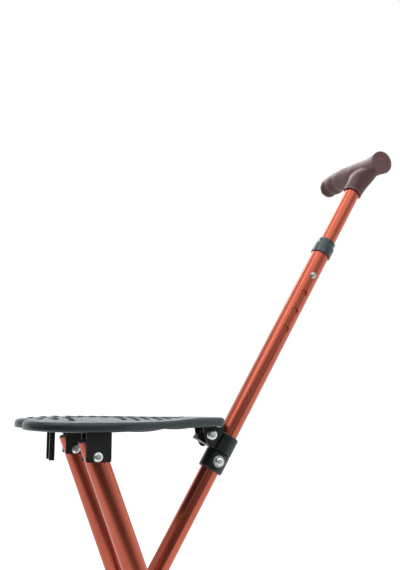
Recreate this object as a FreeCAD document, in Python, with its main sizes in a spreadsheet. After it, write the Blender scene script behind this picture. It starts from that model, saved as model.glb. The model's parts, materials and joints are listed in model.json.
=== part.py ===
import FreeCAD, Part
import math
import os

import Sketcher

# Walking stick with a folding seat, in millimetres, standing open on its three feet.
# The stick leans back over the seat, two parallel legs cross it on one long axle, and the seat joins
# the tops of the legs to a ring that slides on the stick. +Z is up and +X runs from the seat to the stick.

os.makedirs("parts", exist_ok=True)
doc = FreeCAD.newDocument("walking_stick_seat")
sheet = doc.addObject("Spreadsheet::Sheet", "Sizes")

DRIVING_SIZES = {
    # stance, in degrees from upright and in millimetres above the floor
    "stick_lean": 29.8,
    "leg_lean": 20.8,
    "clamp_height": 435,
    # main tube and the stations along it, counted from the stop clamp's bolt
    "main_tube_outer": 22,
    "main_tube_wall": 1.2,
    "pivot_drop": 177.2,
    "top_hole_height": 257.2,
    "hole_pitch": 26.2,
    "hole_diameter": 8.6,
    "collar_height": 290.8,
    "collar_step": 14,
    "collar_length": 21.1,
    # upper tube and handle
    "upper_tube_outer": 19,
    "upper_tube_wall": 1.2,
    "upper_tube_overlap": 98,
    "socket_height": 390.8,
    "handle_height": 428.4,
    "handle_twist": 3.7,
    "handle_back": 40,
    "handle_front": 96.5,
    "handle_end_radius": 14.7,
    "handle_waist_radius": 13,
    "handle_palm_radius": 15,
    "finger_groove_depth": 2.6,
    "socket_radius": 12.1,
    "socket_depth": 26,
    # stop clamp and sliding ring
    "ring_outer": 29,
    "ring_length": 22,
    "ring_clearance": 1.0,
    "ring_gap": 0.3,
    "ear_reach": 22.8,
    "ear_width": 16,
    # legs
    "leg_outer": 24,
    "leg_wall": 1.3,
    "leg_spacing": 140,
    "leg_above_pivot": 178.2,
    "leg_above_bolt": 17.5,
    # seat, measured from the front hinge bolt
    "lobe_back": 165.3,
    "lobe_side": 50.5,
    "lobe_radius": 48.1,
    "notch_radius": 18,
    "side_radius": 170,
    "front_reach": 14.5,
    "front_corner_side": 18,
    "front_corner_radius": 15,
    "seat_height": 21.6,
    "seat_front_height": 19.6,
    "flat_half_width": 48,
    "shoulder_drop": 4.6,
    "rim_bottom_back": 6.4,
    "rim_bottom_front": 10.2,
    "rim_top_edge": 4.6,
    "rim_bottom_edge": 3.4,
    "rim_width": 8,
    "plate_thickness": 3.6,
    "hole_row_pitch": 13.8,
    "hole_grid_shift": -3,
    "seat_hole_diameter": 5.6,
    "skirt_drop": 2.4,
    "skirt_back": 113,
    "skirt_middle": 70,
    "skirt_front": 37,
    "pad_border": 3,
    "front_pad_back": 13.5,
    "clip_pad_half_length": 9,
    "clip_pad_half_width": 19,
    # brackets and clip under the seat
    "bracket_sheet": 2,
    "rear_bracket_length": 25.4,
    "rear_bracket_offset": 0.9,
    "rear_bracket_plane": 11.4,
    "front_bracket_plane": 11.2,
    "front_bracket_reach": 15.2,
    "clip_back": 178.4,
    "clip_width": 5.6,
    "clip_reach": 24.8,
    "clip_wall": 2.6,
    # fasteners
    "axle_diameter": 8,
    "bolt_diameter": 6,
    "hinge_bolt_diameter": 7,
    # rubber feet
    "foot_wall": 3.4,
    "foot_flare": 4,
    "foot_height": 38,
    "foot_base": 8,
    "foot_edge": 3,
    "foot_flat": 1.2,
    # clearances
    "fit_gap": 0.1,
    "free_gap": 0.3,
}
# Half the width of solids that are wider than the seat, and how far they reach below and above it
SEAT_SPACE = 110
BELOW_SEAT = -10
ABOVE_SEAT = 30

for row, (name, value) in enumerate(DRIVING_SIZES.items(), start=1):
    sheet.set(f"A{row}", name)
    sheet.set(f"B{row}", str(value))
    sheet.setAlias(f"B{row}", name)
doc.recompute()


class Size:
    """A length or an angle: its value, and the sheet expression that gives it."""

    def __init__(self, value, text):
        self.value = value
        self.text = text

    def __add__(self, other):
        other = as_size(other)
        return Size(self.value + other.value, f"({self.text} + {other.text})")

    def __sub__(self, other):
        other = as_size(other)
        return Size(self.value - other.value, f"({self.text} - {other.text})")

    def __mul__(self, other):
        other = as_size(other)
        return Size(self.value * other.value, f"({self.text} * {other.text})")

    def __truediv__(self, other):
        other = as_size(other)
        return Size(self.value / other.value, f"({self.text} / {other.text})")

    def __neg__(self):
        return Size(-self.value, f"(0 - {self.text})")

    __radd__ = __add__
    __rmul__ = __mul__

    def __rsub__(self, other):
        return as_size(other) - self


def as_size(number):
    """A bare number as a size that no cell drives."""
    if isinstance(number, Size):
        return number
    return Size(float(number), f"{number:.6f}".rstrip("0").rstrip("."))


def cell(name):
    """The size that the sheet holds under this alias."""
    return Size(float(sheet.get(name)), f"Sizes.{name}")


def sine(angle):
    return Size(math.sin(math.radians(angle.value)), f"sin({angle.text} * 1 deg)")


def cosine(angle):
    return Size(math.cos(math.radians(angle.value)), f"cos({angle.text} * 1 deg)")


def bind(target, field, size):
    """Ties a property or a sketch constraint to the sheet."""
    target.setExpression(field, as_size(size).text)


# Sketches and bodies

def origin_plane(body, role):
    return [item for item in body.Origin.OriginFeatures if item.Role == role][0]


def new_body(label):
    body = doc.addObject("PartDesign::Body", label)
    body.Label = label
    return body


def new_sketch(body, role, name):
    sketch = body.newObject("Sketcher::SketchObject", name)
    sketch.AttachmentSupport = [(origin_plane(body, role), "")]
    sketch.MapMode = "FlatFace"
    return sketch


def pin_coordinate(sketch, kind, geometry, point, size):
    """Holds one coordinate of a sketch point at a size that the sheet gives."""
    size = as_size(size)
    axis = -1 if kind == "DistanceY" else -2
    if abs(size.value) < 1e-9:
        sketch.addConstraint(Sketcher.Constraint("PointOnObject", geometry, point, axis))
        return
    if size.value > 0:
        index = sketch.addConstraint(Sketcher.Constraint(kind, -1, 1, geometry, point, size.value))
        bind(sketch, f"Constraints[{index}]", size)
    else:
        index = sketch.addConstraint(Sketcher.Constraint(kind, geometry, point, -1, 1, -size.value))
        bind(sketch, f"Constraints[{index}]", -size)


def pin_point(sketch, geometry, point, across, up):
    pin_coordinate(sketch, "DistanceX", geometry, point, across)
    pin_coordinate(sketch, "DistanceY", geometry, point, up)


def hold_radius(sketch, geometry, radius):
    radius = as_size(radius)
    index = sketch.addConstraint(Sketcher.Constraint("Radius", geometry, radius.value))
    bind(sketch, f"Constraints[{index}]", radius)


def draw_polygon(sketch, corners):
    """A closed outline of straight lines through corners that the sheet places."""
    points = [FreeCAD.Vector(as_size(x).value, as_size(y).value, 0) for x, y in corners]
    count = len(points)
    first = sketch.GeometryCount
    for index in range(count):
        sketch.addGeometry(Part.LineSegment(points[index], points[(index + 1) % count]), False)
    for index in range(count):
        following = first + (index + 1) % count
        sketch.addConstraint(Sketcher.Constraint("Coincident", first + index, 2, following, 1))
    for index, (x, y) in enumerate(corners):
        pin_point(sketch, first + index, 1, x, y)


def draw_circle(sketch, x, y, radius):
    centre = FreeCAD.Vector(as_size(x).value, as_size(y).value, 0)
    circle = Part.Circle(centre, FreeCAD.Vector(0, 0, 1), as_size(radius).value)
    geometry = sketch.addGeometry(circle, False)
    pin_point(sketch, geometry, 3, x, y)
    hold_radius(sketch, geometry, radius)


def turned(label, corners):
    """A body turned about its own Z axis from a profile of radius and height."""
    body = new_body(label)
    sketch = new_sketch(body, "XZ_Plane", f"{label}_profile")
    draw_polygon(sketch, corners)
    turn = body.newObject("PartDesign::Revolution", f"{label}_turn")
    turn.Profile = sketch
    turn.ReferenceAxis = (sketch, ["V_Axis"])
    turn.Angle = 360
    doc.recompute()
    return body


def padded(body, role, name, draw, length, midplane=True):
    """A pad on one of the body's own planes."""
    sketch = new_sketch(body, role, f"{name}_sketch")
    draw(sketch)
    pad = body.newObject("PartDesign::Pad", name)
    pad.Profile = sketch
    pad.SideType = "Symmetric" if midplane else "One side"
    bind(pad, "Length", length)
    doc.recompute()
    return pad


def pocketed(body, role, name, draw, length=None, reverse=False):
    """A pocket on one of the body's own planes, through both sides where no length is given."""
    before = body.Shape.Volume
    sketch = new_sketch(body, role, f"{name}_sketch")
    draw(sketch)
    pocket = body.newObject("PartDesign::Pocket", name)
    pocket.Profile = sketch
    if length is None:
        pocket.Type = "ThroughAll"
        pocket.SideType = "Symmetric"
    else:
        bind(pocket, "Length", length)
        pocket.Reversed = reverse
    doc.recompute()
    if body.Shape.Volume >= before - 1e-3:
        raise RuntimeError(f"{name} cut nothing")
    return pocket


def edge_names(shape, test):
    return [f"Edge{n}" for n, edge in enumerate(shape.Edges, start=1) if test(edge)]


def rounded(body, name, test, radius):
    """A fillet on the edges that pass a test."""
    names = edge_names(body.Shape, test)
    if not names:
        raise RuntimeError(f"{name} found no edge")
    base = body.Tip
    fillet = body.newObject("PartDesign::Fillet", name)
    fillet.Base = (base, names)
    bind(fillet, "Radius", radius)
    doc.recompute()
    return fillet


def ring_edge(radius, height):
    """A test for a full circle of this radius at this height about the Z axis."""

    def test(edge):
        curve = edge.Curve
        if curve.TypeId != "Part::GeomCircle":
            return False
        return abs(curve.Radius - radius.value) < 1e-4 and abs(curve.Center.z - height.value) < 1e-4

    return test


# Sizes that pieces share

main_radius = cell("main_tube_outer") / 2
main_bore = main_radius - cell("main_tube_wall")
upper_radius = cell("upper_tube_outer") / 2
upper_bore = upper_radius - cell("upper_tube_wall")
ring_radius = cell("ring_outer") / 2
leg_radius = cell("leg_outer") / 2
leg_bore = leg_radius - cell("leg_wall")
axle_radius = cell("axle_diameter") / 2
bolt_radius = cell("bolt_diameter") / 2
hinge_radius = cell("hinge_bolt_diameter") / 2
fit = cell("fit_gap")
free = cell("free_gap")
sheet_thickness = cell("bracket_sheet")
half_spacing = cell("leg_spacing") / 2

ring_bottom = cell("ring_length") / 2 - 0.7 + cell("ring_gap")
ring_top = ring_bottom + cell("ring_length")
clamp_top = ring_bottom - cell("ring_gap")
clamp_bottom = clamp_top - cell("ring_length")
hinge_station = (ring_bottom + ring_top) / 2
hub_half_length = as_size(17)
hub_reach = as_size(19)


def foot_radius(tube_radius):
    return tube_radius + cell("foot_wall") + cell("foot_flare")


def foot_drop(tube_radius, lean):
    """How far a leaning foot's lowest point lies below the middle of its base."""
    edge = cell("foot_edge")
    return (foot_radius(tube_radius) - edge) * sine(lean) + edge * (1 - cosine(lean)) - cell("foot_flat")


def reach_to_floor(height, tube_radius, lean):
    """The distance down a leaning tube from a height to the middle of its foot's base."""
    return (height - foot_drop(tube_radius, lean)) / cosine(lean)


stick_lean = cell("stick_lean")
leg_lean = cell("leg_lean")
pivot_height = cell("clamp_height") - cell("pivot_drop") * cosine(stick_lean)
main_base = reach_to_floor(cell("clamp_height"), main_radius, stick_lean)
leg_base = reach_to_floor(pivot_height, leg_radius, leg_lean)

# Places: the stick, each leg and the seat have a frame of their own.

UP = FreeCAD.Vector(0, 0, 1)
ACROSS = FreeCAD.Vector(0, 1, 0)
NO_TURN = FreeCAD.Rotation()


def moved(x, y, z, rotation=NO_TURN):
    return FreeCAD.Placement(FreeCAD.Vector(x, y, z), rotation)


stick_place = moved(0, 0, cell("clamp_height").value, FreeCAD.Rotation(ACROSS, stick_lean.value))
leg_turn = FreeCAD.Rotation(ACROSS, -leg_lean.value)
pivot = stick_place.multVec(FreeCAD.Vector(0, 0, -cell("pivot_drop").value))
rear_hinge = pivot + leg_turn.multVec(FreeCAD.Vector(0, 0, cell("leg_above_pivot").value))
front_hinge = stick_place.multVec(FreeCAD.Vector(-cell("ear_reach").value, 0, hinge_station.value))
seat_place = FreeCAD.Placement(front_hinge, NO_TURN)
rear_back = front_hinge.x - rear_hinge.x
rear_drop = front_hinge.z - rear_hinge.z
facing_near = FreeCAD.Rotation(FreeCAD.Vector(1, 0, 0), 90)
facing_far = FreeCAD.Rotation(FreeCAD.Vector(1, 0, 0), -90)


def leg_place(side):
    return FreeCAD.Placement(FreeCAD.Vector(pivot.x, side * half_spacing.value, pivot.z), leg_turn)


subparts = []


def finished(item, placement=None):
    """Notes a finished sub-part, and puts it in its place."""
    if placement is not None:
        item.Placement = placement
    subparts.append(item)
    return item


# The stick: main tube, collar, stop clamp, cross hub and foot

def tube_profile(inner, outer, low, high):
    return [(inner, low), (outer, low), (outer, high), (inner, high)]


def make_main_tube():
    low = cell("foot_base") - main_base + fit
    body = turned("main_tube", tube_profile(main_bore, main_radius, low, cell("collar_height") + 9))
    hole_radius = cell("hole_diameter") / 2

    def button_holes(sketch):
        for step in range(4):
            draw_circle(sketch, 0, cell("top_hole_height") - cell("hole_pitch") * step, hole_radius)

    def cross_holes(sketch):
        draw_circle(sketch, 0, 0, bolt_radius + fit)
        draw_circle(sketch, 0, -cell("pivot_drop"), axle_radius + fit)

    pocketed(body, "XZ_Plane", "main_tube_button_holes", button_holes, main_radius * 2, True)
    pocketed(body, "XZ_Plane", "main_tube_cross_holes", cross_holes)
    if body.Shape.Solids[0].CenterOfMass.y < 0:
        raise RuntimeError("the button holes are on the wrong side")
    finished(body, stick_place)


def make_collar():
    base = cell("collar_height")
    step = base + cell("collar_step")
    top = base + cell("collar_length")
    lower = main_radius + 1.8
    upper = upper_radius + 1.9
    body = turned("collar", [
        (main_radius + fit, base), (lower, base), (lower, step - 1.5), (lower - 1.2, step),
        (upper, step), (upper, top - 1), (upper - 1, top), (upper_radius + fit, top),
        (upper_radius + fit, base + 9 + fit), (main_radius + fit, base + 9 + fit),
    ])
    finished(body, stick_place)


def make_stop_clamp():
    edge = as_size(1)
    bore = main_radius + fit
    body = turned("stop_clamp", [
        (bore, clamp_bottom), (ring_radius - edge, clamp_bottom), (ring_radius, clamp_bottom + edge),
        (ring_radius, clamp_top - edge), (ring_radius - edge, clamp_top), (bore, clamp_top),
    ])

    def bolt_hole(sketch):
        draw_circle(sketch, 0, 0, bolt_radius + fit)

    pocketed(body, "XZ_Plane", "stop_clamp_bolt_hole", bolt_hole)
    finished(body, stick_place)


def make_cross_hub():
    edge = as_size(1.5)
    bore = main_radius + fit
    outer = main_radius + 4
    middle = cell("pivot_drop")
    low = -middle - hub_half_length
    high = hub_half_length - middle
    body = turned("cross_hub", [
        (bore, low), (outer - edge, low), (outer, low + edge), (outer, high - edge),
        (outer - edge, high), (bore, high),
    ])

    def boss(sketch):
        draw_circle(sketch, 0, -middle, axle_radius + 5)

    def tube_bore(sketch):
        draw_circle(sketch, 0, 0, bore)

    def axle_bore(sketch):
        draw_circle(sketch, 0, -middle, axle_radius + fit)

    padded(body, "XZ_Plane", "cross_hub_boss", boss, hub_reach * 2)
    pocketed(body, "XY_Plane", "cross_hub_tube_bore", tube_bore)
    pocketed(body, "XZ_Plane", "cross_hub_axle_bore", axle_bore)
    finished(body, stick_place)


def make_foot(label, tube_radius, base, lean, placement):
    """A rubber foot: a flared cap with two grips round it, pressed flat where it meets the floor."""
    bore = tube_radius + fit
    neck = tube_radius + cell("foot_wall")
    wide = foot_radius(tube_radius)
    edge = cell("foot_edge")
    bottom = -base
    top = cell("foot_height") - base
    floor_of_bore = cell("foot_base") - base
    profile = [
        (0, bottom), (wide, bottom), (wide, bottom + 9), (neck + 1.2, bottom + 14),
        (neck + 1.2, bottom + 17), (neck, bottom + 18), (neck, bottom + 21), (neck + 1.2, bottom + 22),
        (neck + 1.2, bottom + 25), (neck, bottom + 26), (neck, top - 1.5), (neck - 1.5, top),
        (bore, top), (bore, floor_of_bore), (0, floor_of_bore),
    ]
    body = turned(f"{label}_moulding", profile)
    rounded(body, f"{label}_edge", ring_edge(wide, bottom), edge)
    body.Placement = placement
    room = 200
    floor = doc.addObject("Part::Box", f"{label}_floor")
    floor.Length = room
    floor.Width = room
    floor.Height = room
    base_centre = placement.multVec(FreeCAD.Vector(0, 0, bottom.value))
    floor.Placement = moved(base_centre.x - room / 2, base_centre.y - room / 2, -room)
    foot = doc.addObject("Part::Cut", label)
    foot.Label = label
    foot.Base = body
    foot.Tool = floor
    doc.recompute()
    finished(foot)


# Fasteners: each lies along its own Z axis, with its head at the top

def bolt_profile(radius, head_radius, head_height, grip, past):
    """Half the outline of a domed bolt whose head seats at height 0."""
    return [
        (0, -grip - past), (radius, -grip - past), (radius, 0), (head_radius, 0),
        (head_radius, head_height * 0.3), (head_radius * 0.86, head_height * 0.66),
        (head_radius * 0.56, head_height * 0.93), (0, head_height),
    ]


def nut_profile(radius, outer, height):
    """Half the outline of a domed nut that seats at height 0."""
    hollow = height * 0.7
    return [
        (radius + fit, 0), (outer, 0), (outer, height * 0.5), (outer * 0.8, height * 0.82),
        (outer * 0.45, height), (0, height), (0, hollow), (radius + fit, hollow),
    ]


def washer_profile(inner, outer, thickness):
    return [(inner, 0), (outer, 0), (outer, thickness), (inner, thickness)]


def make_turned(label, profile, placement):
    finished(turned(label, profile), placement)


def make_group(label, shapes):
    """Like fasteners in one node: separate solids, placed in their own holes."""
    group = doc.addObject("Part::Feature", label)
    group.Label = label
    group.Shape = Part.makeCompound(shapes)
    finished(group)


def turned_shape(profile, placement):
    """A solid turned about Z from half its outline, then put in its place."""
    points = [FreeCAD.Vector(as_size(r).value, 0, as_size(h).value) for r, h in profile]
    face = Part.Face(Part.makePolygon(points + points[:1]))
    solid = face.revolve(FreeCAD.Vector(), UP, 360)
    solid.Placement = placement
    return solid


def make_stick_fasteners():
    seat = ring_radius.value + 0.3
    washer = as_size(1.2)
    top = seat + washer.value
    grip = as_size(2 * top)
    near = stick_place.multiply(moved(0, -top, 0, facing_near))
    far = stick_place.multiply(moved(0, top, 0, facing_far))
    make_turned("clamp_bolt", bolt_profile(bolt_radius, as_size(5.2), as_size(4.4), grip, as_size(3)), near)
    make_turned("clamp_nut", nut_profile(bolt_radius, as_size(5.2), as_size(6)), far)
    washer_outline = washer_profile(bolt_radius + fit, as_size(6.8), washer)
    make_group("clamp_washers", [
        turned_shape(washer_outline, stick_place.multiply(moved(0, -seat, 0, facing_near))),
        turned_shape(washer_outline, stick_place.multiply(moved(0, seat, 0, facing_far))),
    ])


# The upper tube with its handle, plug and snap clip

def make_upper_tube():
    low = cell("top_hole_height") - cell("upper_tube_overlap")
    high = cell("socket_height") + cell("socket_depth") - fit
    body = turned("upper_tube", tube_profile(upper_bore, upper_radius, low, high))

    def button_hole(sketch):
        draw_circle(sketch, 0, cell("top_hole_height"), cell("hole_diameter") / 2)

    pocketed(body, "XZ_Plane", "upper_tube_button_hole", button_hole, upper_radius * 2, True)
    finished(body, stick_place)


def make_upper_plug():
    low = cell("top_hole_height") - cell("upper_tube_overlap")
    body = turned("upper_tube_plug", [
        (0, low - 3), (upper_radius - 1, low - 3), (upper_radius, low - 2), (upper_radius, low - fit),
        (upper_bore - fit, low - fit), (upper_bore - fit, low + 12), (0, low + 12),
    ])
    finished(body, stick_place)


def make_snap_clip():
    """A sprung steel strip folded in a V inside the upper tube, with the button on its end."""
    body = new_body("snap_clip")
    height = cell("top_hole_height")
    strip = as_size(0.6)
    side = upper_bore - 0.8
    bend = height - 26

    def strip_outline(sketch):
        draw_polygon(sketch, [
            (-side, height + 5), (-side, height - 7), (-1.5, bend), (1.5, bend), (side, height + 2),
            (side - strip, height + 2), (1.1, bend + strip), (-1.1, bend + strip),
            (strip - side, height - 7), (strip - side, height + 5),
        ])

    padded(body, "YZ_Plane", "snap_clip_strip", strip_outline, as_size(6))

    button = cell("hole_diameter") / 2 - fit * 2
    proud = main_radius + 2.2
    sketch = new_sketch(body, "YZ_Plane", "snap_clip_button_profile")
    draw_polygon(sketch, [
        (strip - side, height), (-proud, height), (0.25 - proud, height + button * 0.5),
        (1.1 - proud, height + button * 0.88), (1.9 - proud, height + button),
        (strip - side, height + button),
    ])
    turn = body.newObject("PartDesign::Revolution", "snap_clip_button")
    turn.Profile = sketch
    turn.ReferenceAxis = (sketch, ["Edge1"])
    turn.Angle = 360
    doc.recompute()
    finished(body, stick_place)


def closed_oval(middle, first, second):
    """A smooth closed wire round a middle point, from its two half-axes as vectors."""
    count = 12
    points = []
    for step in range(count):
        angle = 2 * math.pi * step / count
        points.append(middle + first * math.cos(angle) + second * math.sin(angle))
    curve = Part.BSplineCurve()
    curve.interpolate(points, PeriodicFlag=True)
    return Part.Wire([curve.toShape()])


def make_handle():
    """A moulded T handle: a palm grip with finger grooves under it, and a neck that flares from the socket."""
    back = cell("handle_back").value
    front = cell("handle_front").value
    end = cell("handle_end_radius").value
    waist = cell("handle_waist_radius").value
    palm = cell("handle_palm_radius").value
    groove = cell("finger_groove_depth").value
    # Sections of the grip from its flat end to its round one: place, reach up, reach down and half-width
    sections = [
        (-back, end, end, end),
        (-back * 0.93, end - 0.2, end - 0.2, end - 0.2),
        (-back * 0.66, waist + 0.3, waist + 0.8, waist + 0.2),
        (-back * 0.2, waist - 0.1, waist + 0.5, waist),
        (front * 0.12, waist + 0.8, waist + 0.8, waist + 0.6),
        (front * 0.29, palm - 0.2, palm - 1.2, palm - 0.6),
        (front * 0.44, palm + 0.2, palm - groove, palm - 0.4),
        (front * 0.58, palm - 0.2, palm - groove - 0.2, palm - 0.6),
        (front * 0.68, palm - 0.9, palm - groove + 0.9, palm - 0.8),
        (front * 0.735, palm - 1.4, palm + 0.1, palm - 0.8),
        (front * 0.795, palm - 2.0, palm - groove + 0.2, palm - 1.4),
        (front * 0.86, palm - 3.0, palm, palm - 1.7),
        (front * 0.93, palm - 5.4, palm - 1.4, palm - 3.4),
        (front * 0.975, palm - 9, palm - 4.4, palm - 7),
        (front, palm - 13.8, palm - 9, palm - 12.4),
    ]
    wires = []
    for place, up, down, half_width in sections:
        middle = FreeCAD.Vector(0, place, (up - down) / 2)
        wires.append(closed_oval(middle, FreeCAD.Vector(half_width, 0, 0), UP * ((up + down) / 2)))
    grip = Part.makeLoft(wires, True)
    # The neck's ovals rise from the socket into the grip: height, reach back, reach front and half-width
    drop = (cell("handle_height") - cell("socket_height")).value
    socket = cell("socket_radius").value
    ovals = [
        (-drop, socket, socket, socket),
        (-drop * 0.86, socket + 0.6, socket + 0.3, socket),
        (-drop * 0.71, socket + 3, socket + 1, socket + 0.2),
        (-drop * 0.58, back * 0.47, socket + 2.6, socket + 0.4),
        (-drop * 0.47, back * 0.61, socket + 5, socket + 0.4),
        (-drop * 0.36, back * 0.76, socket + 8.5, socket + 0.1),
        (-drop * 0.24, back * 0.9, socket + 14, socket - 1.4),
        (-drop * 0.1, back * 0.95, socket + 20, socket - 3.5),
    ]
    wires = []
    for height, reach_back, reach_front, half_width in ovals:
        middle = FreeCAD.Vector(0, (reach_front - reach_back) / 2, height)
        half_length = (reach_front + reach_back) / 2
        wires.append(closed_oval(middle, FreeCAD.Vector(half_width, 0, 0), ACROSS * half_length))
    neck = Part.makeLoft(wires, True)
    bore = Part.makeCylinder(upper_radius.value + fit.value, cell("socket_depth").value,
                             FreeCAD.Vector(0, 0, -drop))
    solid = grip.fuse(neck).cut(bore).Solids[0]
    seam = [edge for edge in solid.Edges if edge.BoundBox.XLength > socket and edge.BoundBox.YLength > back
            and edge.BoundBox.ZLength < 12]
    solid = solid.makeFillet(2.5, seam)
    handle = doc.addObject("Part::Feature", "handle")
    handle.Label = "handle"
    handle.Shape = solid
    twist = FreeCAD.Rotation(UP, cell("handle_twist").value)
    finished(handle, stick_place.multiply(moved(0, 0, cell("handle_height").value, twist)))


# The legs, their caps and feet, and the long axle that carries them

def make_leg(label, side):
    top = cell("leg_above_pivot") + cell("leg_above_bolt")
    low = cell("foot_base") - leg_base + fit
    tube = turned(f"{label}_leg", tube_profile(leg_bore, leg_radius, low, top))

    def cross_holes(sketch):
        draw_circle(sketch, 0, 0, axle_radius + fit)
        draw_circle(sketch, 0, cell("leg_above_pivot"), bolt_radius + fit)

    pocketed(tube, "XZ_Plane", f"{label}_leg_holes", cross_holes)
    finished(tube, leg_place(side))
    cap = turned(f"{label}_leg_cap", [
        (0, top - 11), (leg_bore - fit, top - 11), (leg_bore - fit, top + fit), (leg_radius, top + fit),
        (leg_radius, top + 1.4), (leg_radius - 1.2, top + 2.4), (0, top + 2.8),
    ])
    finished(cap, leg_place(side))
    make_foot(f"{label}_leg_foot", leg_radius, leg_base, leg_lean, leg_place(side))


def make_axle():
    outside = half_spacing + leg_radius + free
    washer = as_size(1.2)
    top = outside + washer
    near = moved(pivot.x, -top.value, pivot.z, facing_near)
    far = moved(pivot.x, top.value, pivot.z, facing_far)
    make_turned("pivot_axle", bolt_profile(axle_radius, as_size(6.5), as_size(5), top * 2, as_size(4)), near)
    make_turned("pivot_nut", nut_profile(axle_radius, as_size(6.5), as_size(8)), far)
    outline = washer_profile(axle_radius + fit, as_size(8), washer)
    make_group("pivot_washers", [
        turned_shape(outline, moved(pivot.x, -outside.value, pivot.z, facing_near)),
        turned_shape(outline, moved(pivot.x, outside.value, pivot.z, facing_far)),
    ])
    inner = hub_reach + free
    length = half_spacing - leg_radius - free - inner
    outline = washer_profile(axle_radius + fit, axle_radius + 3, length)
    make_turned("near_spacer", outline, moved(pivot.x, -inner.value, pivot.z, facing_near))
    make_turned("far_spacer", outline, moved(pivot.x, inner.value, pivot.z, facing_far))


# The ring that slides on the stick

def make_slide_ring():
    """A round collar with one ear: the seat's front hinge bolt passes through the ear."""
    edge = as_size(1)
    bore = main_radius + cell("ring_clearance")
    body = turned("slide_ring", [
        (bore, ring_bottom), (ring_radius - edge, ring_bottom), (ring_radius, ring_bottom + edge),
        (ring_radius, ring_top - edge), (ring_radius - edge, ring_top), (bore, ring_top),
    ])
    reach = cell("ear_reach")

    def ear(sketch):
        draw_polygon(sketch, [
            (-bore - 1, ring_bottom), (-reach - 10.9, ring_bottom), (-reach - 10.9, hinge_station - 7.2),
            (-reach - 8.2, hinge_station - 2.2), (-reach - 8.2, hinge_station + 2),
            (-reach - 6.1, hinge_station + 5.9), (-reach - 2.2, hinge_station + 8.2),
            (-reach + 2.2, hinge_station + 8.2), (-bore - 1, hinge_station + 7),
        ])

    def bolt_hole(sketch):
        draw_circle(sketch, -reach, hinge_station, hinge_radius + fit)

    padded(body, "XZ_Plane", "slide_ring_ear", ear, cell("ear_width"))
    pocketed(body, "XZ_Plane", "slide_ring_bolt_hole", bolt_hole)
    finished(body, stick_place)


# The seat: a crowned, perforated shell with a deep rounded rim

def draw_seat_outline(sketch, inset):
    """Two rear lobes with a notch between them, long sides that taper, and a narrow square front."""
    lobe = cell("lobe_radius") - inset
    notch = cell("notch_radius") + inset
    flank = cell("side_radius") - inset
    corner = cell("front_corner_radius") - inset
    lobe_x = -cell("lobe_back")
    lobe_y = cell("lobe_side")
    flank_y = lobe_y + cell("lobe_radius") - cell("side_radius")
    corner_x = cell("front_reach") - cell("front_corner_radius")
    corner_y = cell("front_corner_side")
    # The notch's middle lies on the seat's middle line, touching both lobes from outside
    notch_x = lobe_x.value - math.sqrt((lobe.value + notch.value) ** 2 - lobe_y.value ** 2)
    lobe_centre = FreeCAD.Vector(lobe_x.value, lobe_y.value, 0)
    notch_angle = math.atan2(lobe_y.value, lobe_x.value - notch_x)
    # The taper line touches the long side arc and the front corner
    between = FreeCAD.Vector(corner_x.value - lobe_x.value, (corner_y - flank_y).value, 0)
    taper = math.atan2(between.y, between.x) + math.acos((flank.value - corner.value) / between.Length)

    def arc(x, y, radius, start, end):
        circle = Part.Circle(FreeCAD.Vector(x, y, 0), UP, radius)
        return sketch.addGeometry(Part.ArcOfCircle(circle, start, end), False)

    def on_arc(x, y, radius, angle, side):
        return FreeCAD.Vector(x + radius * math.cos(angle), side * (y + radius * math.sin(angle)), 0)

    quarter = math.pi / 2
    far_lobe = arc(lobe_centre.x, lobe_centre.y, lobe.value, quarter, math.pi + notch_angle)
    far_flank = arc(lobe_x.value, flank_y.value, flank.value, taper, quarter)
    far_line = sketch.addGeometry(Part.LineSegment(
        on_arc(lobe_x.value, flank_y.value, flank.value, taper, 1),
        on_arc(corner_x.value, corner_y.value, corner.value, taper, 1)), False)
    far_corner = arc(corner_x.value, corner_y.value, corner.value, 0, taper)
    front_x = corner_x.value + corner.value
    front = sketch.addGeometry(Part.LineSegment(
        FreeCAD.Vector(front_x, corner_y.value, 0), FreeCAD.Vector(front_x, -corner_y.value, 0)), False)
    near_corner = arc(corner_x.value, -corner_y.value, corner.value, -taper, 0)
    near_line = sketch.addGeometry(Part.LineSegment(
        on_arc(corner_x.value, corner_y.value, corner.value, taper, -1),
        on_arc(lobe_x.value, flank_y.value, flank.value, taper, -1)), False)
    near_flank = arc(lobe_x.value, -flank_y.value, flank.value, -quarter, -taper)
    near_lobe = arc(lobe_centre.x, -lobe_centre.y, lobe.value, math.pi - notch_angle, 3 * quarter)
    notch_arc = arc(notch_x, 0, notch.value, -notch_angle, notch_angle)
    # Each joint is smooth: the end of one piece of the outline touches the start of the next
    joints = [
        (notch_arc, 2, far_lobe, 2), (far_lobe, 1, far_flank, 2), (far_flank, 1, far_line, 1),
        (far_line, 2, far_corner, 2), (far_corner, 1, front, 1), (front, 2, near_corner, 2),
        (near_corner, 1, near_line, 1), (near_line, 2, near_flank, 2), (near_flank, 1, near_lobe, 2),
        (near_lobe, 1, notch_arc, 1),
    ]
    for one, one_end, other, other_end in joints:
        sketch.addConstraint(Sketcher.Constraint("Tangent", one, one_end, other, other_end))
    for geometry, radius in ((far_lobe, lobe), (near_lobe, lobe), (notch_arc, notch), (far_flank, flank),
                             (near_flank, flank), (far_corner, corner), (near_corner, corner)):
        hold_radius(sketch, geometry, radius)
    for geometry, y in ((far_lobe, lobe_y), (near_lobe, -lobe_y)):
        pin_point(sketch, geometry, 3, lobe_x, y)
    for geometry in (far_flank, near_flank):
        pin_coordinate(sketch, "DistanceX", geometry, 3, lobe_x)
    for geometry, y in ((far_corner, corner_y), (near_corner, -corner_y)):
        pin_point(sketch, geometry, 3, corner_x, y)


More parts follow.
